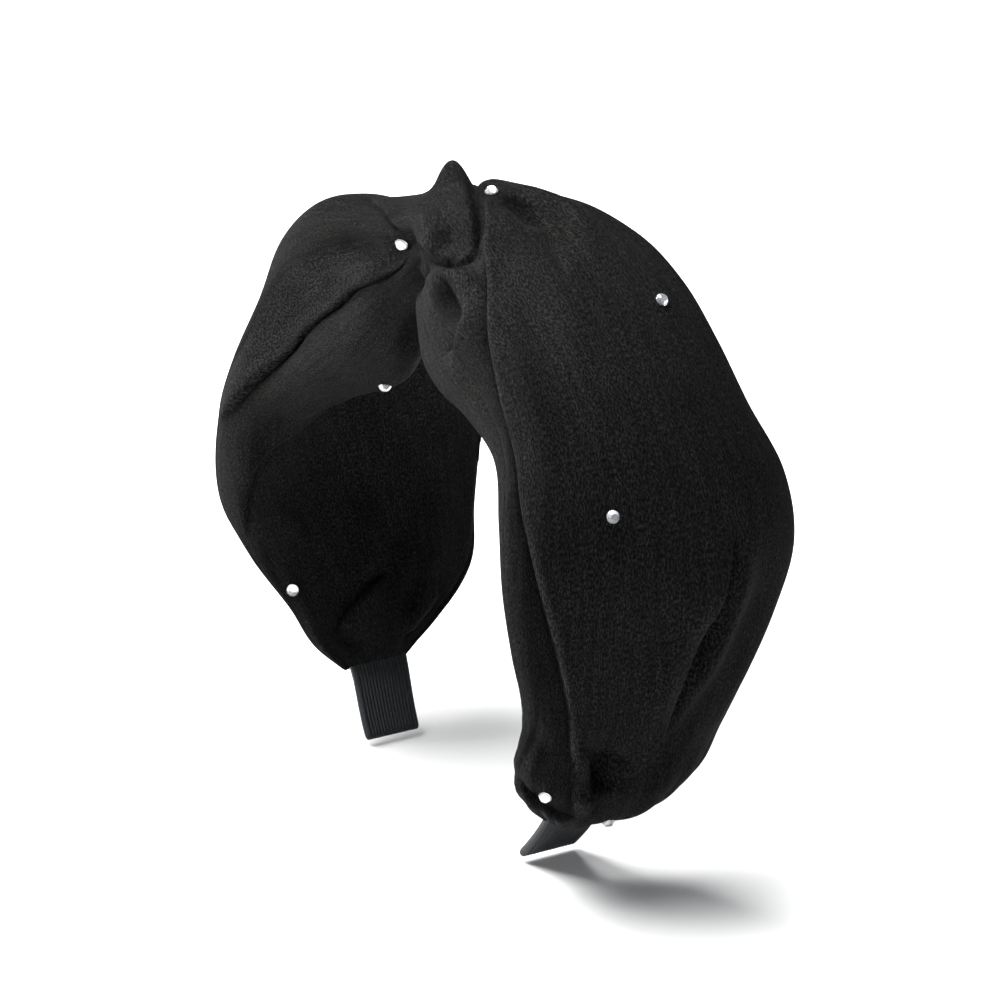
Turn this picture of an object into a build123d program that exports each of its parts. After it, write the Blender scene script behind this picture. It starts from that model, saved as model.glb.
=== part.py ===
"""Wide turban-style headband: a sprung hoop in two soft fabric tubes that meet in a twisted knot.

All sizes are in millimetres.
+Z is up, the arms point down and -Y is the front edge of the band.
+X is the right arm, seen from the front.
The origin is the crown's underside, where the hoop bears on the head.
"""

import math
import os

from build123d import *

# Hoop: a flat spring strip that follows a chain of arcs (radius, degrees) down each side of the crown.
CROWN_Z = 3.0
CORE_THICKNESS = 2.0
RIGHT_ARCS = [(68.0, 90.0), (101.5, 46.0)]
LEFT_ARCS = [(68.0, 90.0), (75.0, 28.0), (830.0, 3.0)]
CORE_WIDTH_CROWN = 20.0
CORE_WIDTH_TIP = 12.8
CORE_CLEARANCE = 0.15
TAPER_TOP_Z = 8.0
TAPER_BOTTOM_Z = -142.0
HOOP_REACH = 80.0

# Fabric tubes
CLOTH_WALL = 0.8
KNOT_START = 0.6
KNOT_END = 22.3
SLEEVE_START = 25.8

# Ribbon caps on the two ends of the hoop
RIBBON_LENGTH = 20.0
RIBBON_WALL = 0.8
RIBBON_CLEARANCE = 0.1

# Flat-back crystals
CRYSTAL_RADIUS = 1.5
CRYSTAL_TABLE_RADIUS = 0.8
CRYSTAL_GIRDLE = 0.35
CRYSTAL_HEIGHT = 1.2
CRYSTAL_FACETS = 12
CRYSTAL_SEAT_GAP = 0.06

# Tube sections along the hoop, one row per station:
# distance from the crown, front edge y, back edge y, height of the front and back edges above the hoop,
# rise of the outer layer, drop of the inner layer, and how far the inner layer leans to the front.
RIGHT_KNOT = [
    (KNOT_START, -13.0, 14.0, -1.0, 0.0, 8.5, 9.0, 0.0),
    (8.0, -17.0, 19.0, -5.0, 0.0, 12.5, 16.0, -3.0),
    (16.0, -19.5, 25.0, -7.0, 1.0, 12.5, 20.0, -6.0),
    (KNOT_END, -21.0, 29.0, -8.0, 1.0, 12.0, 22.0, -8.0),
]
RIGHT_SLEEVE = [
    (SLEEVE_START, -21.5, 30.0, -8.0, 1.0, 12.0, 22.5, -8.0),
    (40.0, -23.0, 34.0, -8.0, 0.5, 11.0, 21.0, -9.0),
    (55.0, -22.0, 36.0, -6.0, 0.0, 9.5, 18.0, -8.0),
    (70.0, -22.5, 38.5, -5.0, 0.0, 9.0, 14.0, -6.0),
    (86.0, -26.0, 44.0, -5.0, 0.0, 9.5, 11.0, -5.0),
    (102.0, -27.0, 44.5, -5.0, 0.0, 9.0, 10.0, -4.0),
    (118.0, -25.0, 40.5, -4.0, -1.0, 8.0, 8.0, -3.0),
    (133.0, -22.0, 36.0, -2.0, -1.0, 7.5, 7.0, -2.0),
    (147.0, -21.5, 31.5, -1.0, 0.0, 7.5, 6.0, 0.0),
    (157.0, -18.5, 27.0, 0.0, 2.0, 8.0, 5.5, 0.0),
    (164.0, -13.5, 20.0, 0.0, 2.0, 7.0, 5.0, 0.0),
    (169.5, -10.6, 10.6, 0.0, 0.0, 4.2, 4.2, 0.0),
]
LEFT_KNOT = [
    (KNOT_START, -13.0, 13.0, -1.0, -1.0, 8.5, 9.0, 0.0),
    (8.0, -14.5, 14.0, -4.0, -3.0, 12.5, 16.0, -3.0),
    (16.0, -16.5, 18.0, -4.5, -6.0, 9.5, 23.5, -6.0),
    (KNOT_END, -18.5, 22.0, -4.5, -5.5, 9.5, 29.0, -8.0),
]
LEFT_SLEEVE = [
    (SLEEVE_START, -19.0, 23.5, -4.5, -5.5, 10.0, 30.0, -8.0),
    (40.0, -22.0, 30.0, -4.5, -3.0, 13.0, 32.0, -9.0),
    (55.0, -23.5, 34.0, -3.0, -1.0, 13.5, 33.0, -10.0),
    (70.0, -25.0, 37.0, -3.0, 0.0, 12.5, 30.0, -11.0),
    (86.0, -27.8, 39.0, -2.0, 0.0, 10.5, 23.5, -11.0),
    (101.0, -31.0, 42.0, -2.0, 0.0, 9.0, 12.5, -8.0),
    (121.0, -32.0, 41.0, -1.0, 0.0, 7.5, 7.0, -3.0),
    (137.0, -27.0, 37.0, 0.0, 0.0, 6.5, 6.0, 0.0),
    (152.0, -19.0, 31.0, 0.0, 0.0, 6.0, 5.0, 0.0),
    (163.5, -14.5, 18.5, 0.0, 0.0, 5.0, 4.5, 0.0),
    (169.5, -10.6, 10.6, 0.0, 0.0, 4.2, 4.2, 0.0),
]

# Crystals: (distance from the crown, y, bearing in degrees) of the line that meets the cloth,
# bearing 90 outward from the head, 180 towards the front edge and -90 inward.
CRYSTALS = {
    "knot_right": {
        "crystal_knot_1": (8.0, 1.0, 90.0),
    },
    "knot_left": {
        "crystal_knot_2": (6.0, -4.0, 212.0),
    },
    "right": {
        "crystal_right_1": (45.5, 23.5, 90.0),
        "crystal_right_2": (87.5, -4.0, 90.0),
        "crystal_right_3": (153.0, -15.5, 90.0),
        "crystal_right_4": (163.5, 2.5, 90.0),
        "crystal_right_5": (125.0, 24.0, -90.0),
        "crystal_right_6": (92.0, 12.0, -90.0),
    },
    "left": {
        "crystal_left_1": (69.5, -4.5, -90.0),
        "crystal_left_2": (148.0, -18.0, -90.0),
        "crystal_left_3": (52.0, 20.0, 90.0),
        "crystal_left_4": (94.0, -4.0, 90.0),
        "crystal_left_5": (128.0, 24.0, 90.0),
        "crystal_left_6": (150.0, -8.0, 90.0),
    },
}

SIDES = {
    "right": {"sign": 1, "arcs": RIGHT_ARCS, "knot": RIGHT_KNOT, "sleeve": RIGHT_SLEEVE},
    "left": {"sign": -1, "arcs": LEFT_ARCS, "knot": LEFT_KNOT, "sleeve": LEFT_SLEEVE},
}


def arc_length(arcs):
    """Length of a chain of arcs."""
    return sum(radius * math.radians(degrees) for radius, degrees in arcs)


def hoop_point(side, distance):
    """Position (x, z) on the hoop's centreline and the angle turned since the crown."""
    x = 0.0
    z = CROWN_Z
    turned = 0.0
    arcs = SIDES[side]["arcs"]
    for index, (radius, degrees) in enumerate(arcs):
        length = radius * math.radians(degrees)
        last = index == len(arcs) - 1
        step = distance if last else min(distance, length)
        centre_x = x - radius * math.sin(turned)
        centre_z = z - radius * math.cos(turned)
        turned += step / radius
        x = centre_x + radius * math.sin(turned)
        z = centre_z + radius * math.cos(turned)
        distance -= step
        if distance <= 0:
            break
    return SIDES[side]["sign"] * x, z, turned


def section_plane(side, distance):
    """Plane across the hoop: local x is the row's +Y, local y points outward from the head."""
    sign = SIDES[side]["sign"]
    x, z, turned = hoop_point(side, distance)
    along = (math.cos(turned), 0, -sign * math.sin(turned))
    return Plane(origin=(x, 0, z), x_dir=(0, 1, 0), z_dir=along)


def section_points(row, inset=0.0, count=14, seam=3):
    """Closed ring of (y, n) points for one tube section, pulled in by an inset.

    The ring starts on the outer layer, a few points round from the back edge.
    """
    _, front, back, front_level, back_level, rise, drop, lean = row
    middle = (front + back) / 2
    half = (back - front) / 2 - inset
    level = (front_level + back_level) / 2
    tilt = (back_level - front_level) / 2
    points = []
    for index in range(count):
        angle = 2 * math.pi * (index + seam) / count
        sine = math.sin(angle)
        reach = rise - inset if sine > 0 else drop - inset
        shift = 0.0 if sine > 0 else lean * -sine
        y = middle + half * math.cos(angle) + shift
        n = level + tilt * math.cos(angle) + reach * sine
        points.append((y, n))
    return points


def tube(side, rows, inset=0.0):
    """Loft a tube through its stations."""
    with BuildPart() as shape:
        for row in rows:
            with BuildSketch(section_plane(side, row[0])):
                with BuildLine():
                    Spline(*section_points(row, inset), periodic=True)
                make_face()
        loft()
    return shape.part


def rail(side, start, end, offset):
    """Arcs that run along one arm between two distances, at an offset outward from its centreline."""
    arcs = SIDES[side]["arcs"]
    joins = [0.0]
    for radius, degrees in arcs:
        joins.append(joins[-1] + radius * math.radians(degrees))
    joins[-1] = max(end, joins[-1])
    for low, high in zip(joins, joins[1:]):
        low = max(low, start)
        high = min(high, end)
        if high > low:
            middle = (low + high) / 2
            ThreePointArc(*[offset_point(side, distance, offset) for distance in (low, middle, high)])


def offset_point(side, distance, offset):
    """Point (x, z) at an offset outward from the hoop's centreline."""
    x, z, turned = hoop_point(side, distance)
    return x + SIDES[side]["sign"] * offset * math.sin(turned), z + offset * math.cos(turned)


def strip(side, start, end, thickness, margin):
    """Flat spring strip along one arm; margin widens it past the bare hoop on both edges."""
    half = thickness / 2
    with BuildPart() as shape:
        with BuildSketch(Plane.XZ):
            with BuildLine():
                rail(side, start, end, half)
                rail(side, start, end, -half)
                for distance in (start, end):
                    Line(offset_point(side, distance, -half), offset_point(side, distance, half))
            make_face()
        extrude(amount=CORE_WIDTH_CROWN, both=True)
        with BuildSketch(Plane.YZ):
            top = half_width(TAPER_TOP_Z) + margin
            bottom = half_width(TAPER_BOTTOM_Z) + margin
            Polygon(
                (-top, TAPER_TOP_Z),
                (top, TAPER_TOP_Z),
                (bottom, TAPER_BOTTOM_Z),
                (-bottom, TAPER_BOTTOM_Z),
                align=None,
            )
        extrude(amount=HOOP_REACH, both=True, mode=Mode.INTERSECT)
    return shape.part


def half_width(z):
    """Half the bare hoop's width at a height, tapering evenly from the crown down."""
    share = (CROWN_Z - z) / (CROWN_Z - TAPER_BOTTOM_Z)
    return (CORE_WIDTH_CROWN + (CORE_WIDTH_TIP - CORE_WIDTH_CROWN) * share) / 2


def seat(cloth, side, distance, y, bearing):
    """Plane that lies on the cloth where a line from the hoop meets its far face, normal outward."""
    x, z, turned = hoop_point(side, distance)
    outward = Vector(SIDES[side]["sign"] * math.sin(turned), 0, math.cos(turned))
    ahead = Vector(0, 1, 0) * math.cos(math.radians(bearing)) + outward * math.sin(math.radians(bearing))
    start = Vector(x, y, z)
    hits = cloth.find_intersection_points(Axis(start, ahead))
    point, normal = max(hits, key=lambda hit: (hit[0] - start).dot(ahead))
    if normal.dot(ahead) < 0:
        normal = normal * -1
    origin = point + normal * CRYSTAL_SEAT_GAP
    return Plane(origin=origin, x_dir=normal.cross(Vector(0.1, 1, 0.2)), z_dir=normal)


def crystal(plane):
    """Flat-back faceted crystal: a girdle, sloping crown facets and a flat table."""
    with BuildPart() as stone:
        with BuildSketch(plane):
            RegularPolygon(CRYSTAL_RADIUS, CRYSTAL_FACETS)
        extrude(amount=CRYSTAL_GIRDLE)
        with BuildSketch(plane.offset(CRYSTAL_GIRDLE)):
            RegularPolygon(CRYSTAL_RADIUS, CRYSTAL_FACETS)
        with BuildSketch(plane.offset(CRYSTAL_HEIGHT)):
            RegularPolygon(CRYSTAL_TABLE_RADIUS, CRYSTAL_FACETS)
        loft()
    return stone


os.makedirs("parts", exist_ok=True)

# Hoop core: both arms in one strip
with BuildPart() as hoop_core:
    for side in SIDES:
        add(strip(side, 0.0, arc_length(SIDES[side]["arcs"]), CORE_THICKNESS, 0.0))
hoop_core.part.label = "hoop_core"
export_step(hoop_core.part, "parts/hoop_core.step")

# Fabric tubes, knot loops and ribbon caps
cloth = {}
for side in SIDES:
    tip = arc_length(SIDES[side]["arcs"])
    rows = SIDES[side]["sleeve"]
    with BuildPart() as sleeve:
        add(tube(side, rows))
        add(tube(side, rows, CLOTH_WALL), mode=Mode.SUBTRACT)
    sleeve.part.label = f"{side}_sleeve"
    export_step(sleeve.part, f"parts/{side}_sleeve.step")
    cloth[side] = sleeve.part

    slot_thickness = CORE_THICKNESS + 2 * CORE_CLEARANCE
    with BuildPart() as knot:
        add(tube(side, SIDES[side]["knot"]))
        add(strip(side, 0.0, KNOT_END + 2.0, slot_thickness, CORE_CLEARANCE), mode=Mode.SUBTRACT)
    knot.part.label = f"knot_{side}_loop"
    export_step(knot.part, f"parts/knot_{side}_loop.step")
    cloth[f"knot_{side}"] = knot.part

    inside = CORE_THICKNESS + 2 * RIBBON_CLEARANCE
    outside = inside + 2 * RIBBON_WALL
    with BuildPart() as ribbon:
        shell = RIBBON_CLEARANCE + RIBBON_WALL
        mouth = tip - RIBBON_LENGTH
        add(strip(side, mouth, tip + shell, outside, shell))
        add(strip(side, mouth, tip + RIBBON_CLEARANCE, inside, RIBBON_CLEARANCE), mode=Mode.SUBTRACT)
    ribbon.part.label = f"{side}_end_ribbon"
    export_step(ribbon.part, f"parts/{side}_end_ribbon.step")

# Crystals, each seated on the cloth it is fixed to
for owner, crystals in CRYSTALS.items():
    side = owner.removeprefix("knot_")
    for name, (distance, y, bearing) in crystals.items():
        stone = crystal(seat(cloth[owner], side, distance, y, bearing))
        stone.part.label = name
        export_step(stone.part, f"parts/{name}.step")
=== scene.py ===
"""Wide satin turban headband: two gathered fabric tubes on a sprung hoop, crossed in a knot at the crown.

Lengths in the tables are millimetres; everything is scaled to metres when a mesh is made.
A place on the cloth is (u, angle): u is the distance along the hoop from the crown, negative down the left
arm and positive down the right one, and angle goes round the tube from 0 at the back edge over 90 on the
outer face and 180 at the front edge to 270 on the face that looks at the head.
"""

import math

import bpy
import numpy as np
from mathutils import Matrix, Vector
from mathutils.bvhtree import BVHTree


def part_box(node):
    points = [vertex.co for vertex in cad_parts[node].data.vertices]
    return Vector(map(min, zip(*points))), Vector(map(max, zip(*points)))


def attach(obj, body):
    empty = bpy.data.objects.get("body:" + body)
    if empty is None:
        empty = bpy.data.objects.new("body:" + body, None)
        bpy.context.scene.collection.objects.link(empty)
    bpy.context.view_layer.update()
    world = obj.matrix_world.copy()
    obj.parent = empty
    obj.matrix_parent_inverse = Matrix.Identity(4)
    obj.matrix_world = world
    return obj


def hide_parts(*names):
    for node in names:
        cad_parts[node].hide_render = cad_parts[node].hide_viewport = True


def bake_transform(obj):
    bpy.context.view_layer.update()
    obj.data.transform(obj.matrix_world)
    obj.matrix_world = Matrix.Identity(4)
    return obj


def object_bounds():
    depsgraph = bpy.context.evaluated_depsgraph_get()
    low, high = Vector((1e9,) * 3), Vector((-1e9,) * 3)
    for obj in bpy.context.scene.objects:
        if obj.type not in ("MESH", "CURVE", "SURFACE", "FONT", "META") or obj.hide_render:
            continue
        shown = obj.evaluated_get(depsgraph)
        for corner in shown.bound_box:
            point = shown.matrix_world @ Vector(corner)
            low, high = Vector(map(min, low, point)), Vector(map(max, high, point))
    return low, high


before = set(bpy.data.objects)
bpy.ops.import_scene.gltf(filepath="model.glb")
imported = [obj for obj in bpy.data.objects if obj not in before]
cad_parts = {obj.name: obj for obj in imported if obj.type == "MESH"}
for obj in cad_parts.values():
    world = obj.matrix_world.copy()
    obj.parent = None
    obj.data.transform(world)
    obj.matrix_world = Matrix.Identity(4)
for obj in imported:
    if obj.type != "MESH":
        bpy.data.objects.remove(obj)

cad_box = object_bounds()

MM = 0.001

# Hoop: height of its centreline at the crown, (radius, degrees) arcs down each side, and each side's length.
CROWN_Z = 3.0
ARCS = {"right": [(68.0, 90.0), (101.5, 46.0)], "left": [(68.0, 90.0), (75.0, 28.0), (830.0, 3.0)]}
SIGN = {"right": 1.0, "left": -1.0}
TIP = {side: sum(r * math.radians(d) for r, d in arcs) for side, arcs in ARCS.items()}

# Arms: distance of the flex hinge from the crown, and how far the blend reaches before and after it.
HINGE = 24.0
BLEND_BEFORE = 5.0
BLEND_AFTER = 6.0

# Hoop strip: it tapers from the crown to its lowest point, is waisted where the knot pinches the cloth, and
# thins to an edge inside the ribbons.
CORE_THICKNESS = 2.0
CORE_WIDTH_CROWN = 20.0
CORE_WIDTH_TIP = 12.8
TAPER_BOTTOM_Z = -142.0
CORE_STEPS = 120
CORE_END_GAP = 0.05
CORE_EDGE = 0.3
THIN_FROM = 22.0
THIN_TO = 1.0
WAIST_PLACE = 16.0
WAIST_REACH = 16.0
WAIST_SHARE = 0.4
MIN_FLAT = 0.1
EDGE_POINTS = 8

# Ribbon caps: straight part, then a few rings (past the tip, share of the section) that close the end.
RIBBON_LENGTH = 20.0
RIBBON_STEPS = 60
RIBBON_STRAIGHT_END = 0.6
RIBBON_CLOSING = [(-0.1, 0.97), (0.35, 0.86), (0.75, 0.6), (0.9, 0.3)]
RIBBON_OUTSIDE = 1.1
RIBBON_SIDE = 0.9
RIBBON_SKEW = 1.2
RIBS = 15
RIB_HEIGHT = 0.36

# Cloth tubes: the ribbon's mouth, girth, mesh density, thickness, and UV units per millimetre.
MOUTH = 169.5
GIRTH = 160.0
ROWS = 300
COLUMNS = 288
CLOTH_THICKNESS = 0.4
UV_PER_MM = 0.1
UV_PER_COLUMN = 0.02

# Knot end of a tube: how far from the knot the grid starts to follow the knot line, the tuck along that
# line, which changes at the pinch, and the rows that close the tube out of sight.
KNOT_PULL = 52.0
KNOT_TUCK_DEPTH = 3.2
KNOT_TUCK_WIDTH = 2.6
PINCH_DEPTH = {"left": 2.6, "right": -1.4}
PINCH_ANGLE = 156.0
PINCH_SPREAD = 30.0
END_ROWS = 8
END_STEP = 1.5
END_DEPTH = 12.0
END_CLOSED = 0.98

# Inner layer: degrees over which its lift grows, and where its front edge rolls under.
LIFT_SPREAD = 42.0
ROLL_ANGLE = 214.0
ROLL_SPREAD = 26.0

# Folds: steps between two points of a fold line, how far a fold is felt in widths and in degrees, and how
# many points are worked on at once.
LINE_STEPS = 24
FOLD_REACH = 6.0
FOLD_SPREAD = 70.0
FOLD_CHUNK = 4000

# Profile of a tuck, as shares of its depth and width: the crest of the upper cloth and the lip at its very
# edge, and how far the crest slides over the lower cloth.
TUCK_CREST = 0.55
TUCK_CREST_WIDTH = 1.6
TUCK_LIP = 0.25
TUCK_LIP_MM = 0.5
TUCK_SLIDE = 0.5

# Gathers and waves: height, waves round the tube, radians per millimetre along it, phase.
WAVES = [
    (0.55, 3.0, 0.021, 0.4),
    (0.35, 5.0, -0.034, 2.1),
    (0.22, 8.0, 0.05, 4.0),
    (0.12, 13.0, -0.09, 1.0),
]
KNOT_FAN = [(0.35, 11.0, 0.12, 0.0), (0.25, 17.0, -0.1, 2.0)]
MOUTH_FROM = 118.0
MOUTH_FULL = 164.0
PLEAT_HEIGHT = 1.6
PLEAT_LEVEL = 0.4
WAVE_HEIGHT = 0.6
FAN_HEIGHT = 0.5
FAN_REACH = 16.0

# Stones: rings of (radius, height, points, turn in steps) from the flat back over the girdle to the table.
STONE_RINGS = [
    (1.50, 0.00, 16, 0.0),
    (1.50, 0.28, 16, 0.0),
    (1.17, 0.72, 8, 0.5),
    (0.80, 1.15, 8, 0.0),
]
STONE_LIFT = 0.05
# The folded cloth covers one stone's CAD place, so its place is looked for on the front strip's face.
STONE_NUDGE = {"crystal_left_1": (10.0, -5.6, 5.4)}

# Studio, in metres.
FLOOR_GAP = 0.0005
FLOOR_HALF = 30.0
CENTRE = (0.0, 0.0087, -0.0665)
CAMERA_AZIMUTH = 60.0
CAMERA_ELEVATION = 21.0
CAMERA_DISTANCE = 0.950
CAMERA_LENS = 147.06
CAMERA_SENSOR = 36.0

# Tube sections: u, front y, back y, level of the front and back edges above the hoop, rise of the outer
# layer, drop of the inner layer, and how far the inner layer leans to the front.
SECTIONS = [
    (-169.5, -8.6, 8.6, 0.0, 0.0, 3.3, 3.3, 0.0),
    (-163.5, -13.8, 18.0, 0.0, 0.0, 5.0, 4.5, 0.0),
    (-152.0, -18.4, 31.0, 0.0, 0.0, 6.0, 5.0, 0.0),
    (-137.0, -26.0, 37.0, 0.0, 0.0, 6.5, 6.0, 0.0),
    (-121.0, -31.4, 41.8, -1.0, 0.0, 7.5, 7.0, -3.0),
    (-101.0, -31.0, 43.0, -2.0, 0.0, 9.0, 14.0, -8.0),
    (-86.0, -27.8, 39.8, -2.0, 0.0, 9.7, 24.0, -11.0),
    (-70.0, -25.0, 37.0, -3.0, 0.0, 11.8, 31.0, -11.0),
    (-55.0, -23.5, 34.0, -3.0, -1.0, 15.0, 34.0, -10.0),
    (-40.0, -22.0, 30.0, -4.5, -3.0, 15.0, 33.0, -9.0),
    (-29.0, -19.8, 25.0, -4.5, -4.0, 10.5, 30.8, -8.4),
    (-20.0, -17.5, 20.0, -4.5, -3.5, 8.8, 27.0, -7.0),
    (-13.0, -15.8, 16.0, -4.5, -2.5, 8.5, 20.0, -4.5),
    (-7.0, -14.5, 14.0, -4.0, -1.5, 9.5, 15.5, -3.0),
    (0.0, -14.0, 14.0, -2.0, -0.5, 10.5, 10.5, 0.0),
    (8.0, -17.0, 19.0, -5.0, 0.0, 12.0, 16.0, -3.0),
    (16.0, -19.5, 25.0, -7.0, 1.0, 12.0, 20.0, -6.0),
    (25.2, -21.5, 29.5, -8.0, 1.0, 11.2, 22.5, -8.0),
    (40.0, -23.0, 33.2, -8.0, 0.5, 9.9, 21.0, -9.0),
    (55.0, -22.0, 35.2, -6.0, 0.0, 8.7, 18.0, -8.0),
    (70.0, -22.0, 37.6, -5.0, 0.0, 8.4, 14.0, -6.0),
    (86.0, -25.2, 43.4, -5.0, 0.0, 9.2, 11.0, -5.0),
    (102.0, -26.2, 45.0, -5.0, 0.0, 9.0, 10.0, -4.0),
    (118.0, -24.2, 41.8, -4.0, -1.0, 8.0, 8.0, -3.0),
    (133.0, -21.0, 36.8, -2.0, -1.0, 7.5, 7.0, -2.0),
    (147.0, -20.6, 31.5, -1.0, 0.0, 7.5, 6.0, 0.0),
    (157.0, -17.8, 27.0, 0.0, 2.0, 8.0, 5.5, 0.0),
    (164.0, -13.0, 20.6, 0.0, 2.0, 7.0, 5.0, 0.0),
    (169.5, -8.6, 8.6, 0.0, 0.0, 3.3, 3.3, 0.0),
]

# Inner layer: u, how much of its drop is lost behind its lowest line, how far the front edge rolls under,
# and the angle where the lift starts.
INNER_SHAPE = [
    (-169.5, 0.0, 0.0, 230.0),
    (-140.0, 0.1, 1.0, 225.0),
    (-128.0, 0.4, 4.5, 225.0),
    (-116.0, 0.6, 6.5, 230.0),
    (-102.0, 0.75, 5.0, 238.0),
    (-88.0, 0.78, 2.5, 246.0),
    (-70.0, 0.75, 1.5, 256.0),
    (-50.0, 0.72, 1.5, 262.0),
    (-35.0, 0.6, 1.0, 264.0),
    (-16.0, 0.3, 0.0, 264.0),
    (0.0, 0.0, 0.0, 264.0),
    (20.0, 0.2, 0.0, 264.0),
    (45.0, 0.45, 0.0, 262.0),
    (90.0, 0.3, 0.0, 255.0),
    (150.0, 0.0, 0.0, 250.0),
    (169.5, 0.0, 0.0, 250.0),
]

# Where the left cloth meets the right cloth, round the knot: angle, u.
KNOT_LINE = [
    (0.0, -13.0),
    (40.0, -8.0),
    (65.0, -4.0),
    (85.0, 0.0),
    (93.0, 3.5),
    (102.0, 8.0),
    (110.0, 13.5),
    (118.0, 18.5),
    (127.0, 21.5),
    (136.0, 21.5),
    (145.0, 19.5),
    (153.0, 17.5),
    (162.0, 14.5),
    (176.0, 11.5),
    (190.0, 10.0),
    (205.0, 8.0),
    (235.0, 4.0),
    (270.0, -1.0),
    (315.0, -9.0),
]


def smooth_curve(places, values, at, period=None):
    """Smooth curve through (place, value) points, evaluated at an array; period closes it on itself."""
    xs = np.asarray(places, float)
    ys = np.asarray(values, float)
    at = np.asarray(at, float)
    if period:
        xs = np.concatenate([xs[-2:] - period, xs, xs[:2] + period])
        ys = np.concatenate([ys[-2:], ys, ys[:2]])
        at = np.mod(at, period)
    slopes = np.gradient(ys, xs)
    k = np.clip(np.searchsorted(xs, at) - 1, 0, len(xs) - 2)
    width = xs[k + 1] - xs[k]
    t = np.clip((at - xs[k]) / width, 0.0, 1.0)
    return (
        (2 * t**3 - 3 * t**2 + 1) * ys[k]
        + (t**3 - 2 * t**2 + t) * width * slopes[k]
        + (3 * t**2 - 2 * t**3) * ys[k + 1]
        + (t**3 - t**2) * width * slopes[k + 1]
    )


def smoothstep(low, high, value):
    """0 below low, 1 above high, and a smooth rise between; low may be the larger of the two."""
    t = np.clip((value - low) / (high - low), 0.0, 1.0)
    return t * t * (3 - 2 * t)


def hoop_place(u):
    """x and z on the hoop's centreline, and the signed angle turned, at signed distances from the crown."""
    u = np.asarray(u, float)
    x = np.zeros_like(u)
    z = np.full_like(u, CROWN_Z)
    turned = np.zeros_like(u)
    for side, arcs in ARCS.items():
        left_over = np.maximum(u * SIGN[side], 0.0)
        for index, (radius, degrees) in enumerate(arcs):
            last = index == len(arcs) - 1
            step = left_over if last else np.minimum(left_over, radius * math.radians(degrees))
            after = np.abs(turned) + step / radius
            here = np.where(u * SIGN[side] > 0, 1.0, 0.0)
            x += here * SIGN[side] * radius * (np.sin(after) - np.sin(np.abs(turned)))
            z += here * radius * (np.cos(after) - np.cos(np.abs(turned)))
            turned = np.where(here > 0, SIGN[side] * after, turned)
            left_over = left_over - step
    return x, z, turned


def to_world(u, y, n):
    """Points in the frame, in millimetres, at distance u along the hoop, across y and outward n."""
    x, z, turned = hoop_place(u)
    return np.stack([x + n * np.sin(turned), y + 0 * x, z + n * np.cos(turned)], axis=-1)


def cloth_place(u, angle):
    """The tube's surface before its folds, at arrays of u and angle in degrees."""
    table = np.array(SECTIONS)
    front, back, front_level, back_level, rise, drop, lean = [
        smooth_curve(table[:, 0], table[:, k], u) for k in range(1, 8)
    ]
    shape = np.array(INNER_SHAPE)
    lift = smooth_curve(shape[:, 0], shape[:, 1], u)
    roll = smooth_curve(shape[:, 0], shape[:, 2], u)
    start = smooth_curve(shape[:, 0], shape[:, 3], u)
    angle = np.mod(angle, 360.0)
    sine = np.sin(np.radians(angle))
    cosine = np.cos(np.radians(angle))
    inner = np.maximum(-sine, 0.0)
    outer = np.maximum(sine, 0.0)
    lifted = 1.0 - lift * smoothstep(start, start + LIFT_SPREAD, angle)
    rolled = roll * np.exp(-(((angle - ROLL_ANGLE) / ROLL_SPREAD) ** 2))
    y = (front + back) / 2 + (back - front) / 2 * cosine + lean * inner
    n = (
        (front_level + back_level) / 2
        + (back_level - front_level) / 2 * cosine
        + rise * outer
        - drop * inner * lifted
        - rolled
    )
    return to_world(u, y, n)


def knot_line(angle):
    """u of the line where the two cloths meet, at an angle round the tube."""
    table = np.array(KNOT_LINE)
    return smooth_curve(table[:, 0], table[:, 1], angle, period=360.0)


def grid_normals(points):
    """Outward unit normals of a closed tube grid, rows along u and columns round the tube."""
    along = np.gradient(points, axis=0)
    across = np.roll(points, -1, axis=1) - np.roll(points, 1, axis=1)
    normals = np.cross(across, along)
    return normals / np.maximum(np.linalg.norm(normals, axis=-1, keepdims=True), 1e-9)


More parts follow.
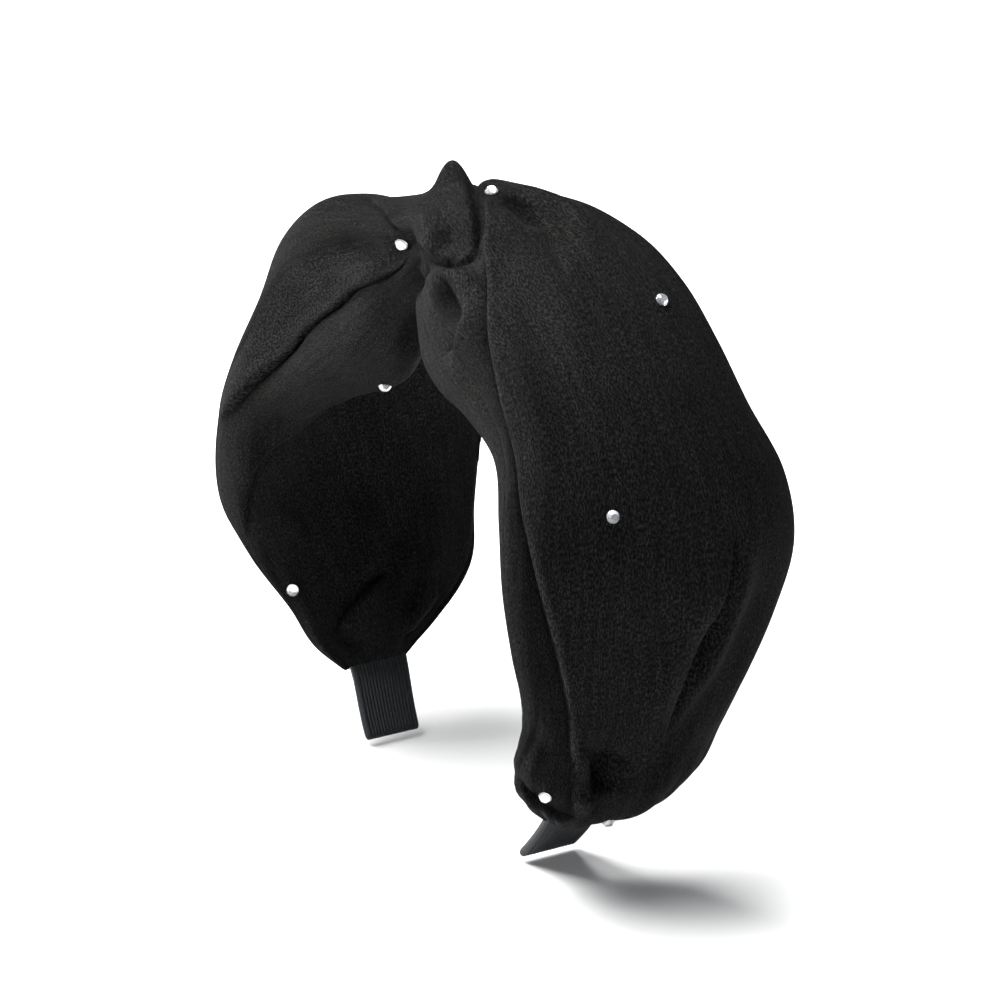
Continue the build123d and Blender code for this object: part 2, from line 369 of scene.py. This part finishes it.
# Folds: kind, line of (u, angle) points, depth, width, side, and the share of the line over which the fold
# fades in at one end and out at the other. A valley or a ridge has the same profile on both sides. In a tuck
# the cloth on the named side of the line, 1 or -1, lies over the cloth on the other side.
FOLDS = {
    "left": [
        # the two long creases that fan out from the knot, and the hollows and rolls between them
        (
            "tuck",
            [(-32, 114), (-25, 123), (-15, 138), (-4, 165), (6, 161), (14, 149), (19, 141)],
            1.6, 2.6, 1, 0.15,
        ),
        (
            "tuck",
            [(-2, 200), (-10, 203), (-25, 198), (-42, 199), (-72, 200), (-90, 196), (-104, 180)],
            2.4, 4.0, -1, 0.15,
        ),
        ("valley", [(17, 151), (8, 177), (-9, 194), (-17, 186), (-27, 181), (-44, 180)], 2.6, 3.2, 1, 0.3),
        ("ridge", [(15, 150), (6, 166), (-6, 178), (-16, 165), (-30, 152), (-48, 148)], 1.0, 2.6, 1, 0.35),
        ("valley", [(-14, 196), (-35, 196), (-60, 195), (-88, 196)], 5.4, 7.6, 1, 0.35),
        ("ridge", [(-18, 150), (-38, 140), (-62, 138), (-84, 146)], 1.6, 7.0, 1, 0.4),
        # hollow beside the pinch, the peak over it, and the saddle behind the peak
        ("valley", [(9, 148), (12, 138), (17, 129), (21, 127)], 3.2, 4.6, 1, 0.35),
        ("ridge", [(-10, 78), (-5, 89), (1, 98)], 5.6, 3.8, 1, 0.5),
        ("ridge", [(-4, 94), (3, 103), (9, 112), (15, 118)], 1.2, 2.6, 1, 0.4),
        ("valley", [(-70, 78), (-52, 80), (-40, 80), (-26, 78), (-14, 74)], 5.2, 11.0, 1, 0.4),
        # the front strip's edge, where it hangs over the inner face
        (
            "tuck",
            [(-70, 262), (-85, 250), (-96, 262), (-99, 272), (-100, 262), (-102, 244), (-110, 219),
             (-123, 202), (-134, 192)],
            2.2, 4.0, -1, 0.12,
        ),
        # gathers at the ribbon on the inner face
        ("tuck", [(-148, 272), (-153, 259), (-158, 242), (-163, 222)], 2.6, 3.0, 1, 0.3),
        ("tuck", [(-152, 305), (-157, 309), (-162, 300), (-166, 290)], 2.6, 2.4, -1, 0.3),
        ("valley", [(-158, 225), (-164, 240), (-167, 262)], 1.8, 2.2, 1, 0.3),
        ("valley", [(-130, 306), (-142, 282), (-150, 270), (-157, 252)], 1.4, 5.0, 1, 0.5),
        ("ridge", [(-140, 268), (-150, 256), (-157, 240)], 0.9, 4.0, 1, 0.5),
    ],
    "right": [
        # the long tucked edge down the front, where the outer lobe lies over the front strip
        (
            "tuck",
            [(9, 99), (15, 106), (21, 116), (34, 129), (49, 146), (60, 156), (70, 158), (80, 156),
             (91, 150), (105, 143), (119, 137), (133, 133), (148, 125), (160, 124)],
            1.7, 4.0, 1, 0.06,
        ),
        # pocket in the lower loop of the knot
        ("valley", [(21, 158), (26, 155), (31, 155), (36, 164)], 3.4, 4.2, 1, 0.4),
        (
            "tuck",
            [(19, 154), (24, 147), (30, 144), (35, 147), (39, 157), (41, 172), (38, 190)],
            3.0, 3.2, 1, 0.3,
        ),
        ("tuck", [(15, 160), (19, 151), (22, 143), (25, 136), (29, 131)], 1.6, 2.2, -1, 0.25),
        ("ridge", [(8, 94), (14, 109), (17, 115), (21, 118), (26, 120)], 1.3, 1.7, 1, 0.3),
        # rolled pleat on top of the knot, the hollow under it, and the valley and roll behind it
        ("tuck", [(8, 92), (10, 84), (13, 77), (18, 78), (24, 82), (31, 87), (40, 95)], 1.2, 4.2, 1, 0.4),
        ("valley", [(9, 90), (14, 86), (18, 86), (23, 88)], 3.0, 2.8, 1, 0.4),
        ("valley", [(8, 60), (15, 70), (20, 76), (27, 81), (36, 88)], 1.6, 5.0, 1, 0.45),
        ("ridge", [(7, 78), (13, 67), (20, 62), (32, 66)], 1.3, 3.0, 1, 0.4),
        ("valley", [(24, 112), (30, 118), (38, 124)], 0.8, 2.6, 1, 0.5),
        # the deep pleats that run down into the gathers at the ribbon
        (
            "tuck",
            [(92, 60), (104, 70), (114, 76), (122, 81), (130, 84), (138, 85), (146, 89), (150, 99),
             (154, 114)],
            5.0, 5.0, -1, 0.3,
        ),
        (
            "ridge",
            [(92, 52), (102, 58), (112, 59), (123, 64), (132, 72), (142, 79), (150, 92)],
            2.8, 4.0, 1, 0.3,
        ),
        ("valley", [(108, 67), (120, 74), (132, 79), (146, 87)], 3.8, 4.6, 1, 0.3),
        ("valley", [(90, 42), (112, 44), (130, 54), (146, 70), (156, 88)], 1.8, 5.0, 1, 0.4),
        ("valley", [(141, 104), (148, 108), (154, 112)], 6.0, 3.4, 1, 0.3),
        ("tuck", [(138, 124), (145, 119), (152, 115), (160, 116)], 2.2, 3.0, -1, 0.25),
        # the pouch at the bottom of the front strip
        ("ridge", [(142, 176), (147, 160), (151, 145), (156, 131)], 1.4, 4.0, 1, 0.3),
        ("tuck", [(150, 186), (155, 168), (159, 150), (161, 132), (160, 120)], 1.8, 2.6, -1, 0.25),
        ("valley", [(134, 172), (139, 158), (143, 146)], 1.0, 3.0, 1, 0.4),
    ],
}


def fold_shift(kind, distance, depth, width, over):
    """Outward and sideways shift at signed distances from a fold line, in millimetres."""
    if kind in ("valley", "ridge"):
        out = depth * np.exp(-((distance / width) ** 2))
        return (out if kind == "ridge" else -out), np.zeros_like(distance)
    across = distance * over
    top = np.maximum(across, 0.0)
    under = np.maximum(-across, 0.0)
    crest = TUCK_CREST * depth * np.exp(-((top / (TUCK_CREST_WIDTH * width)) ** 2))
    lip = TUCK_LIP * depth * np.exp(-((top / TUCK_LIP_MM) ** 2))
    out = np.where(across > 0, crest - lip, -depth * np.exp(-under / width) * smoothstep(-0.3, 0.8, under))
    sideways = -over * TUCK_SLIDE * depth * np.exp(-((top / width) ** 2)) * smoothstep(1.5, 0.0, under)
    return out, sideways


def fold_cloth(points, normals, us, angles, folds):
    """A tube grid's points moved by its folds."""
    flat = points.reshape(-1, 3)
    flat_normals = normals.reshape(-1, 3)
    flat_u = us.reshape(-1)
    flat_angle = angles.reshape(-1)
    shift = np.zeros_like(flat)
    for kind, line, depth, width, over, fade in folds:
        knots = np.arange(len(line))
        share = np.linspace(0, len(line) - 1, LINE_STEPS * (len(line) - 1) + 1)
        line_u = smooth_curve(knots, [p[0] for p in line], share)
        line_angle = smooth_curve(knots, [p[1] for p in line], share)
        route = cloth_place(line_u, line_angle)
        lengths = np.concatenate([[0], np.cumsum(np.linalg.norm(np.diff(route, axis=0), axis=1))])
        along = np.gradient(route, axis=0)
        along /= np.linalg.norm(along, axis=1, keepdims=True)
        reach = FOLD_REACH * width
        away = np.abs(np.mod(flat_angle - line_angle.mean() + 180.0, 360.0) - 180.0)
        spread = np.abs(line_angle - line_angle.mean()).max() + FOLD_SPREAD
        beside = (flat_u > line_u.min() - reach) & (flat_u < line_u.max() + reach)
        near = np.where(beside & (away < spread))[0]
        for chunk in np.array_split(near, max(1, len(near) // FOLD_CHUNK)):
            offsets = flat[chunk][:, None, :] - route[None, :, :]
            squares = (offsets**2).sum(-1)
            closest = squares.argmin(1)
            offset = offsets[np.arange(len(chunk)), closest]
            tangent = along[closest]
            side = np.cross(flat_normals[chunk], tangent)
            beyond = np.abs((offset * tangent).sum(1))
            distance = np.sqrt(np.maximum(squares.min(1) - beyond**2, 0.0)) * np.sign((offset * side).sum(1))
            at = lengths[closest] / lengths[-1]
            faded = smoothstep(0.0, fade, at) * smoothstep(1.0, 1.0 - fade, at)
            strength = faded * np.exp(-((beyond / width) ** 2))
            out, sideways = fold_shift(kind, distance, depth, width, over)
            outward = flat_normals[chunk] * (out * strength)[:, None]
            shift[chunk] += outward + side * (sideways * strength)[:, None]
    return points + shift.reshape(points.shape)


def wave_sum(waves, radians, us):
    """Sum of waves given as height, waves round the tube, radians per millimetre along it, and phase."""
    return sum(height * np.sin(turns * radians + rate * us + phase) for height, turns, rate, phase in waves)


def gathers(us, angles, side):
    """Outward shift of the pleats at the ribbon, the waves in the free cloth and the fan at the knot."""
    radians = np.radians(angles)
    distance = np.abs(us)
    mouth = smoothstep(MOUTH_FROM, MOUTH_FULL, distance)
    wander = 0.35 * np.sin(distance * 0.055 + 1.7 * SIGN[side]) + 0.22 * np.sin(2.0 * radians + 0.9)
    uneven = 0.55 + 0.45 * np.sin(2.0 * radians + 3.1 * SIGN[side]) * np.sin(3.0 * radians + 0.7)
    pleats = uneven * (
        0.60 * np.abs(np.sin(5.0 * (radians + wander) + 0.6))
        + 0.40 * np.abs(np.sin(9.0 * (radians + 0.6 * wander) + 1.9))
        + 0.30 * np.sin(4.0 * radians - 0.04 * distance + 0.8)
    )
    knot_near = np.exp(-(((us - knot_line(angles)) / FAN_REACH) ** 2))
    return (
        PLEAT_HEIGHT * mouth * (pleats - PLEAT_LEVEL)
        + WAVE_HEIGHT * wave_sum(WAVES, radians, us) * (1 - mouth)
        + FAN_HEIGHT * knot_near * wave_sum(KNOT_FAN, radians, us)
    )


def tube_grid(side, rows, columns):
    """u and angle of every point of one tube, from the ribbon's mouth to the knot line."""
    sign = SIGN[side]
    angles = np.linspace(0.0, 360.0, columns, endpoint=False)
    share = np.linspace(0.0, 1.0, rows)
    base = -sign * MOUTH * share + sign * MOUTH
    pull = smoothstep(KNOT_PULL, 0.0, np.abs(base))
    us = base[:, None] + pull[:, None] * knot_line(angles)[None, :]
    if side == "right":
        us = us[::-1]
    return us, np.broadcast_to(angles, us.shape).copy()


def shape_tube(side, rows, columns):
    """The finished surface of one tube in millimetres, with its u and angle grids."""
    us, angles = tube_grid(side, rows, columns)
    points = cloth_place(us, angles)
    normals = grid_normals(points)
    folded = fold_cloth(points, normals, us, angles, FOLDS[side])
    folded += normals * gathers(us, angles, side)[..., None]
    # the cloth tucks in along the knot line: at the pinch the left tube goes deeper and the right one less
    to_knot = np.abs(us - knot_line(angles))
    depth = KNOT_TUCK_DEPTH + PINCH_DEPTH[side] * np.exp(-(((angles - PINCH_ANGLE) / PINCH_SPREAD) ** 2))
    folded -= normals * (depth * np.exp(-((to_knot / KNOT_TUCK_WIDTH) ** 2)))[..., None]
    return close_end(side, folded, us, angles)


def close_end(side, points, us, angles):
    """Add rows that draw the knot end of a tube almost to a point, so that no gap shows through the knot."""
    rim = points[-1] if side == "left" else points[0]
    rim_u = us[-1] if side == "left" else us[0]
    centre = rim.mean(axis=0)
    steps = np.arange(1, END_ROWS + 1)
    closed = 1.0 - END_CLOSED * smoothstep(0.0, 1.0, steps / END_ROWS)
    deeper = np.array([-SIGN[side] * END_DEPTH, 0.0, 0.0])
    extra = centre + (rim - centre)[None] * closed[:, None, None] + deeper * (1.0 - closed**2)[:, None, None]
    extra_u = rim_u[None] - SIGN[side] * steps[:, None] * END_STEP
    extra_angles = np.broadcast_to(angles[:1], extra_u.shape)
    if side == "left":
        return (
            np.concatenate([points, extra]),
            np.concatenate([us, extra_u]),
            np.concatenate([angles, extra_angles]),
        )
    return (
        np.concatenate([extra[::-1], points]),
        np.concatenate([extra_u[::-1], us]),
        np.concatenate([extra_angles, angles]),
    )


def grid_mesh(name, points, us, angles):
    """Mesh object from a closed tube grid, with the cloth's own coordinates as its UV map."""
    rows, columns = points.shape[:2]
    index = np.arange(rows * columns).reshape(rows, columns)
    after = np.roll(index, -1, axis=1)
    faces = np.stack([index[:-1], after[:-1], after[1:], index[1:]], axis=-1).reshape(-1, 4)
    mesh = bpy.data.meshes.new(name)
    mesh.from_pydata((points.reshape(-1, 3) * MM).tolist(), [], faces.tolist())
    uv = mesh.uv_layers.new(name="cloth")
    turn = angles / 360.0 * GIRTH
    turn_after = np.roll(turn, -1, axis=1).copy()
    turn_after[:, -1] = GIRTH
    corners = np.stack(
        [
            np.stack([us[:-1], turn[:-1]], -1),
            np.stack([np.roll(us, -1, axis=1)[:-1], turn_after[:-1]], -1),
            np.stack([np.roll(us, -1, axis=1)[1:], turn_after[1:]], -1),
            np.stack([us[1:], turn[1:]], -1),
        ],
        axis=2,
    )
    uv.data.foreach_set("uv", (corners.reshape(-1, 2) * UV_PER_MM).astype(np.float32).ravel())
    mesh.polygons.foreach_set("use_smooth", [True] * len(mesh.polygons))
    mesh.update()
    piece = bpy.data.objects.new(name, mesh)
    bpy.context.collection.objects.link(piece)
    return piece


def half_width(z):
    """Half the bare hoop's width at a height."""
    share = (CROWN_Z - z) / (CROWN_Z - TAPER_BOTTOM_Z)
    return (CORE_WIDTH_CROWN + (CORE_WIDTH_TIP - CORE_WIDTH_CROWN) * share) / 2


def capped_tube(name, points, material):
    """Closed mesh from rings of points, in millimetres, with its first and last ring filled."""
    rows, columns = points.shape[:2]
    index = np.arange(rows * columns).reshape(rows, columns)
    after = np.roll(index, -1, axis=1)
    faces = np.stack([index[:-1], after[:-1], after[1:], index[1:]], axis=-1).reshape(-1, 4).tolist()
    faces.append(index[0][::-1].tolist())
    faces.append(index[-1].tolist())
    mesh = bpy.data.meshes.new(name)
    mesh.from_pydata((points.reshape(-1, 3) * MM).tolist(), [], faces)
    uv = mesh.uv_layers.new(name="cloth")
    loops = np.zeros(len(mesh.loops), int)
    mesh.loops.foreach_get("vertex_index", loops)
    row, column = loops // columns, loops % columns
    length = np.linalg.norm(np.diff(points, axis=0), axis=-1).mean()
    places = np.stack([row * length * UV_PER_MM, column * UV_PER_COLUMN], -1)
    uv.data.foreach_set("uv", places.astype(np.float32).ravel())
    mesh.polygons.foreach_set("use_smooth", [True] * (len(faces) - 2) + [False, False])
    mesh.materials.append(material)
    mesh.update()
    piece = bpy.data.objects.new(name, mesh)
    bpy.context.collection.objects.link(piece)
    return piece


def strip_rings(us, half_widths, half_thickness, ribs=0, rib_height=0.0):
    """Rings of a flat strip with rounded edges along the hoop, ribbed on both faces if asked."""
    across = np.linspace(-1.0, 1.0, max(10, ribs * 6))
    grooves = np.abs(np.cos(math.pi * ribs * (across + 1) / 2)) - 1 if ribs else 0 * across
    turn = np.radians(np.linspace(-90, 90, EDGE_POINTS)[1:-1])
    cosine, sine = np.cos(turn), np.sin(turn)
    rings = []
    for u, wide, thick in zip(us, half_widths, half_thickness):
        flat = max(wide - thick, MIN_FLAT)
        height = thick + rib_height * grooves
        y = np.concatenate([-across * flat, -flat - thick * cosine, across * flat, flat + thick * cosine])
        n = np.concatenate([height, -thick * sine, -height, thick * sine])
        rings.append(to_world(np.full_like(y, u), y, n))
    return np.array(rings)


def hinge_points(side):
    """Where the cloth stops following the crown and starts following the arm, in metres."""
    x, z, _ = hoop_place(SIGN[side] * np.array([HINGE - BLEND_BEFORE, HINGE + BLEND_AFTER]))
    return [(float(a) * MM, 0.0, float(b) * MM) for a, b in zip(x, z)]


def surface_tree(piece):
    """Search tree of a piece's surface."""
    vertices = [v.co for v in piece.data.vertices]
    faces = [tuple(p.vertices) for p in piece.data.polygons]
    return BVHTree.FromPolygons(vertices, faces)


def stone_mesh(name):
    """A flat-back stone on the XY plane, facing +Z, cut to an octagonal table, with foil on its back."""
    vertices = []
    starts = []
    for radius, height, count, offset in STONE_RINGS:
        starts.append(len(vertices))
        for k in range(count):
            turn = 2 * math.pi * (k + offset) / count
            vertices.append((radius * math.cos(turn) * MM, radius * math.sin(turn) * MM, height * MM))
    back, girdle, middle, table = starts
    faces = [[back + k for k in range(15, -1, -1)]]
    for k in range(16):
        after = (k + 1) % 16
        faces.append([back + k, back + after, girdle + after, girdle + k])
    for k in range(8):
        after = (k + 1) % 8
        left, point, right = girdle + 2 * k, girdle + 2 * k + 1, girdle + (2 * k + 2) % 16
        faces.append([left, point, middle + k])
        faces.append([point, right, middle + k])
        faces.append([right, middle + after, table + after, middle + k])
        faces.append([middle + k, table + after, table + k])
    faces.append([table + k for k in range(8)])
    mesh = bpy.data.meshes.new(name)
    mesh.from_pydata(vertices, [], faces)
    mesh.materials.append(glass)
    mesh.materials.append(foil)
    mesh.polygons[0].material_index = 1
    mesh.update()
    return mesh


def apply_modifiers(piece):
    """Make a piece's modifiers part of its mesh."""
    graph = bpy.context.evaluated_depsgraph_get()
    finished = bpy.data.meshes.new_from_object(piece.evaluated_get(graph))
    piece.modifiers.clear()
    piece.data = finished


def nodes_of(name):
    """A new material with its node tree and its Principled shader."""
    material = bpy.data.materials.new(name)
    material.use_nodes = True
    tree = material.node_tree
    shader = next(node for node in tree.nodes if node.type == "BSDF_PRINCIPLED")
    return material, tree, shader


def scaled(tree, source, scale):
    """Texture coordinates stretched by a scale."""
    mapping = tree.nodes.new("ShaderNodeMapping")
    mapping.inputs["Scale"].default_value = scale
    tree.links.new(source, mapping.inputs["Vector"])
    return mapping.outputs["Vector"]


def noise(tree, vector, scale, detail, roughness=0.5):
    """Noise texture on given coordinates."""
    made = tree.nodes.new("ShaderNodeTexNoise")
    made.inputs["Scale"].default_value = scale
    made.inputs["Detail"].default_value = detail
    made.inputs["Roughness"].default_value = roughness
    tree.links.new(vector, made.inputs["Vector"])
    return made.outputs["Fac"]


def ramp(tree, source, stops):
    """Colour ramp with the given (place, colour) stops."""
    made = tree.nodes.new("ShaderNodeValToRGB")
    while len(made.color_ramp.elements) < len(stops):
        made.color_ramp.elements.new(0.5)
    for element, (place, colour) in zip(made.color_ramp.elements, stops):
        element.position = place
        element.color = (*colour, 1.0)
    tree.links.new(source, made.inputs["Fac"])
    return made.outputs["Color"]


def multiplied(tree, first, second):
    """Product of two colours."""
    mix = tree.nodes.new("ShaderNodeMix")
    mix.data_type = "RGBA"
    mix.blend_type = "MULTIPLY"
    mix.inputs["Factor"].default_value = 1.0
    tree.links.new(first, mix.inputs[6])
    tree.links.new(second, mix.inputs[7])
    return mix.outputs[2]


def bump(tree, height, distance, strength, under=None):
    """Bump of a given height in metres, on top of another bump."""
    made = tree.nodes.new("ShaderNodeBump")
    made.inputs["Strength"].default_value = strength
    made.inputs["Distance"].default_value = distance
    tree.links.new(height, made.inputs["Height"])
    if under is not None:
        tree.links.new(under, made.inputs["Normal"])
    return made.outputs["Normal"]


def cloth_coordinates(tree):
    """The cloth's own coordinates, which lie along the hoop and round the tube."""
    cloth = tree.nodes.new("ShaderNodeUVMap")
    cloth.uv_map = "cloth"
    return cloth.outputs["UV"]


def set_roughness(tree, shader, source, low, high):
    """Roughness that follows a texture between two values."""
    rough = tree.nodes.new("ShaderNodeMapRange")
    rough.inputs["To Min"].default_value = low
    rough.inputs["To Max"].default_value = high
    tree.links.new(source, rough.inputs["Value"])
    tree.links.new(rough.outputs["Result"], shader.inputs["Roughness"])


def crepe_material():
    """Black satin crepe: fine crinkle that runs along the band, a soft sheen and slightly uneven dye."""
    material, tree, shader = nodes_of("crepe_satin")
    place = cloth_coordinates(tree)
    crinkle = noise(tree, scaled(tree, place, (0.40, 1.0, 1.0)), 30.0, 3.0, 0.7)
    slubs = noise(tree, scaled(tree, place, (0.10, 1.0, 1.0)), 8.0, 3.0, 0.6)
    creases = noise(tree, scaled(tree, place, (0.35, 1.0, 1.0)), 5.0, 4.0, 0.6)
    patches = noise(tree, scaled(tree, place, (0.6, 1.0, 1.0)), 0.9, 3.0)
    colour = ramp(tree, crinkle, [(0.46, (0.0057, 0.0060, 0.0058)), (0.58, (0.0376, 0.0383, 0.0356))])
    tint = ramp(tree, patches, [(0.3, (0.82, 0.82, 0.84)), (0.7, (1.0, 1.0, 1.0))])
    streaks = ramp(tree, slubs, [(0.36, (0.6, 0.6, 0.62)), (0.62, (1.0, 1.0, 1.0))])
    dyed = multiplied(tree, multiplied(tree, colour, tint), streaks)
    tree.links.new(dyed, shader.inputs["Base Color"])
    set_roughness(tree, shader, creases, 0.5, 0.68)
    fine = bump(tree, crinkle, 0.0022, 1.0)
    both = bump(tree, creases, 0.0009, 0.7, fine)
    tree.links.new(both, shader.inputs["Normal"])
    shader.inputs["Specular IOR Level"].default_value = 0.02
    shader.inputs["Sheen Weight"].default_value = 0.006
    shader.inputs["Sheen Roughness"].default_value = 0.45
    shader.inputs["Sheen Tint"].default_value = (1.0, 0.98, 0.95, 1.0)
    return material


def grosgrain_material():
    """Blue-black grosgrain ribbon: ribs in the mesh, fine cross threads and a fuzzy, uneven tone here."""
    material, tree, shader = nodes_of("grosgrain")
    place = cloth_coordinates(tree)
    threads = tree.nodes.new("ShaderNodeTexWave")
    threads.bands_direction = "X"
    threads.inputs["Scale"].default_value = 9.0
    threads.inputs["Distortion"].default_value = 1.2
    threads.inputs["Detail"].default_value = 2.0
    tree.links.new(place, threads.inputs["Vector"])
    fuzz = noise(tree, place, 30.0, 3.0)
    colour = ramp(tree, fuzz, [(0.3, (0.005, 0.006, 0.007)), (0.7, (0.017, 0.020, 0.024))])
    tree.links.new(colour, shader.inputs["Base Color"])
    set_roughness(tree, shader, fuzz, 0.42, 0.6)
    weave = bump(tree, threads.outputs["Fac"], 0.00008, 0.7)
    tree.links.new(bump(tree, fuzz, 0.00008, 0.6, weave), shader.inputs["Normal"])
    shader.inputs["Specular IOR Level"].default_value = 0.2
    shader.inputs["Sheen Weight"].default_value = 0.012
    shader.inputs["Sheen Roughness"].default_value = 0.4
    return material


def plastic_material():
    """Black sprung plastic of the hoop: fine moulded grain and faint scuffs."""
    material, tree, shader = nodes_of("hoop_plastic")
    place = tree.nodes.new("ShaderNodeTexCoord").outputs["Object"]
    grain = noise(tree, place, 1800.0, 2.0)
    scuffs = noise(tree, scaled(tree, place, (1.0, 6.0, 1.0)), 90.0, 4.0)
    colour = ramp(tree, scuffs, [(0.4, (0.012, 0.012, 0.013)), (0.75, (0.03, 0.03, 0.031))])
    tree.links.new(colour, shader.inputs["Base Color"])
    set_roughness(tree, shader, scuffs, 0.32, 0.55)
    tree.links.new(bump(tree, grain, 0.00004, 0.5), shader.inputs["Normal"])
    return material


def crystal_materials():
    """Clear cut glass, and the silvered foil on its back."""
    glass, tree, shader = nodes_of("crystal_glass")
    place = tree.nodes.new("ShaderNodeTexCoord").outputs["Object"]
    haze = noise(tree, place, 900.0, 2.0)
    set_roughness(tree, shader, haze, 0.0, 0.06)
    shader.inputs["Base Color"].default_value = (0.96, 0.97, 1.0, 1.0)
    shader.inputs["Transmission Weight"].default_value = 0.85
    shader.inputs["IOR"].default_value = 1.56
    foil, tree, shader = nodes_of("crystal_foil")
    place = tree.nodes.new("ShaderNodeTexCoord").outputs["Object"]
    grain = noise(tree, place, 2500.0, 2.0)
    colour = ramp(tree, grain, [(0.3, (0.72, 0.72, 0.74)), (0.7, (0.92, 0.92, 0.93))])
    tree.links.new(colour, shader.inputs["Base Color"])
    shader.inputs["Metallic"].default_value = 1.0
    shader.inputs["Roughness"].default_value = 0.22
    return glass, foil


def studio_light(name, kind, place, target, size, watts, cone=None):
    """Soft light of a kind, AREA or SPOT, aimed at a target."""
    data = bpy.data.lights.new(name, kind)
    data.energy = watts
    if kind == "AREA":
        data.size = size
    else:
        data.shadow_soft_size = size
        data.spot_size = math.radians(cone)
        data.spot_blend = 1.0
    light = bpy.data.objects.new(name, data)
    light.location = place
    light.rotation_euler = (Vector(target) - Vector(place)).to_track_quat("-Z", "Y").to_euler()
    bpy.context.collection.objects.link(light)


crepe = crepe_material()
grosgrain = grosgrain_material()
plastic = plastic_material()
glass, foil = crystal_materials()


# Cloth tubes, with search trees of their outer skins for setting the stones.
trees = {}
for side in ARCS:
    points, us, angles = shape_tube(side, ROWS, COLUMNS)
    tube = grid_mesh(f"{side}_tube", points, us, angles)
    tube.data.materials.append(crepe)
    trees[side] = surface_tree(tube)
    shell = tube.modifiers.new("cloth", "SOLIDIFY")
    shell.thickness = CLOTH_THICKNESS * MM
    shell.offset = -1.0
    apply_modifiers(tube)
    hinge_points(side)
    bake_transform(tube)
    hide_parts(f"knot_{side}_loop", f"{side}_sleeve")


# Hoop: a flat strip with rounded edges, in halves that meet at the crown.
for side, sign in SIGN.items():
    distances = np.linspace(0.0, TIP[side] - CORE_END_GAP, CORE_STEPS)
    us = sign * distances
    z = hoop_place(us)[1]
    waist = 1.0 - WAIST_SHARE * np.exp(-(((us - WAIST_PLACE) / WAIST_REACH) ** 2))
    full = smoothstep(TIP[side] - THIN_TO, TIP[side] - THIN_FROM, distances)
    rings = strip_rings(us, half_width(z) * waist, CORE_EDGE + (CORE_THICKNESS / 2 - CORE_EDGE) * full)
    if side == "left":
        rings = rings[::-1]
    core = capped_tube(f"{side}_hoop_half", rings, plastic)
    hinge_points(side)
    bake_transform(core)
    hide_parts("hoop_core")

# Ribbon caps: ribbed grosgrain folded over each end of the hoop.
for side, sign in SIGN.items():
    tip = TIP[side]
    straight = np.linspace(tip - RIBBON_LENGTH, tip - RIBBON_STRAIGHT_END, RIBBON_STEPS)
    distances = np.concatenate([straight, [tip + past for past, _ in RIBBON_CLOSING]])
    closing = np.concatenate([np.ones(RIBBON_STEPS), [share for _, share in RIBBON_CLOSING]])
    us = sign * distances
    z = hoop_place(us)[1]
    widths = half_width(z) + RIBBON_SIDE * closing
    rings = strip_rings(us, widths, RIBBON_OUTSIDE * closing, RIBS, RIB_HEIGHT)
    if side == "left":
        # the photographed ribbon is folded slightly askew on this side
        rings[..., 1] += RIBBON_SKEW * smoothstep(tip, tip - RIBBON_LENGTH, distances)[:, None]
        rings = rings[::-1]
    ribbon = capped_tube(f"{side}_ribbon_cap", rings, grosgrain)
    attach(ribbon, f"{side}_arm")
    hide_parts(f"{side}_end_ribbon")


# Stones: each is set on the nearest place of the cloth's outer skin.
for name in sorted(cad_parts):
    if not name.startswith("crystal_"):
        continue
    low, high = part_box(name)
    centre = (low + high) / 2 + Vector(STONE_NUDGE.get(name, (0.0, 0.0, 0.0))) * MM
    best = None
    for side, tree in trees.items():
        place, normal, _, gap = tree.find_nearest(centre)
        if best is None or gap < best[3]:
            best = (place, normal, side, gap)
    place, normal, side, _ = best
    stone = bpy.data.objects.new(f"{name}_stone", stone_mesh(f"{name}_stone"))
    stone.rotation_mode = "QUATERNION"
    stone.rotation_quaternion = normal.to_track_quat("Z", "Y")
    stone.location = place + normal * STONE_LIFT * MM
    bpy.context.collection.objects.link(stone)
    body = "crown" if "knot" in name else f"{side}_arm"
    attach(stone, body)
    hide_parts(name)

# Floor, light and camera.
floor_z = cad_box[0][2] - FLOOR_GAP
floor_corners = [(x * FLOOR_HALF, y * FLOOR_HALF, floor_z) for x, y in ((-1, -1), (1, -1), (1, 1), (-1, 1))]
floor_mesh = bpy.data.meshes.new("floor")
floor_mesh.from_pydata(floor_corners, [], [(0, 1, 2, 3)])
floor = bpy.data.objects.new("floor", floor_mesh)
bpy.context.collection.objects.link(floor)
pale, _, pale_shader = nodes_of("pale_floor")
pale_shader.inputs["Base Color"].default_value = (0.75, 0.75, 0.75, 1.0)
pale_shader.inputs["Roughness"].default_value = 0.9
floor_mesh.materials.append(pale)

world = bpy.data.worlds.new("studio")
world.use_nodes = True
background = world.node_tree.nodes["Background"]
background.inputs["Color"].default_value = (0.88, 1.0, 1.14, 1.0)
background.inputs["Strength"].default_value = 0.06
bpy.context.scene.world = world
bpy.context.scene.view_settings.view_transform = "Standard"


studio_light("overhead", "AREA", (-0.41, -0.24, 0.96), CENTRE, 1.1, 67.0)
studio_light("front", "SPOT", (-0.34, -0.94, 0.05), (0.058, -0.02, -0.038), 0.1, 420.0, cone=8.5)

turn, tilt = math.radians(CAMERA_AZIMUTH), math.radians(CAMERA_ELEVATION)
back = Vector((math.sin(turn) * math.cos(tilt), -math.cos(turn) * math.cos(tilt), math.sin(tilt)))
camera_data = bpy.data.cameras.new("camera")
camera_data.sensor_width = CAMERA_SENSOR
camera_data.lens = CAMERA_LENS
camera = bpy.data.objects.new("camera", camera_data)
camera.location = Vector(CENTRE) + back * CAMERA_DISTANCE
camera.rotation_euler = back.to_track_quat("Z", "Y").to_euler()
bpy.context.collection.objects.link(camera)
bpy.context.scene.camera = camera
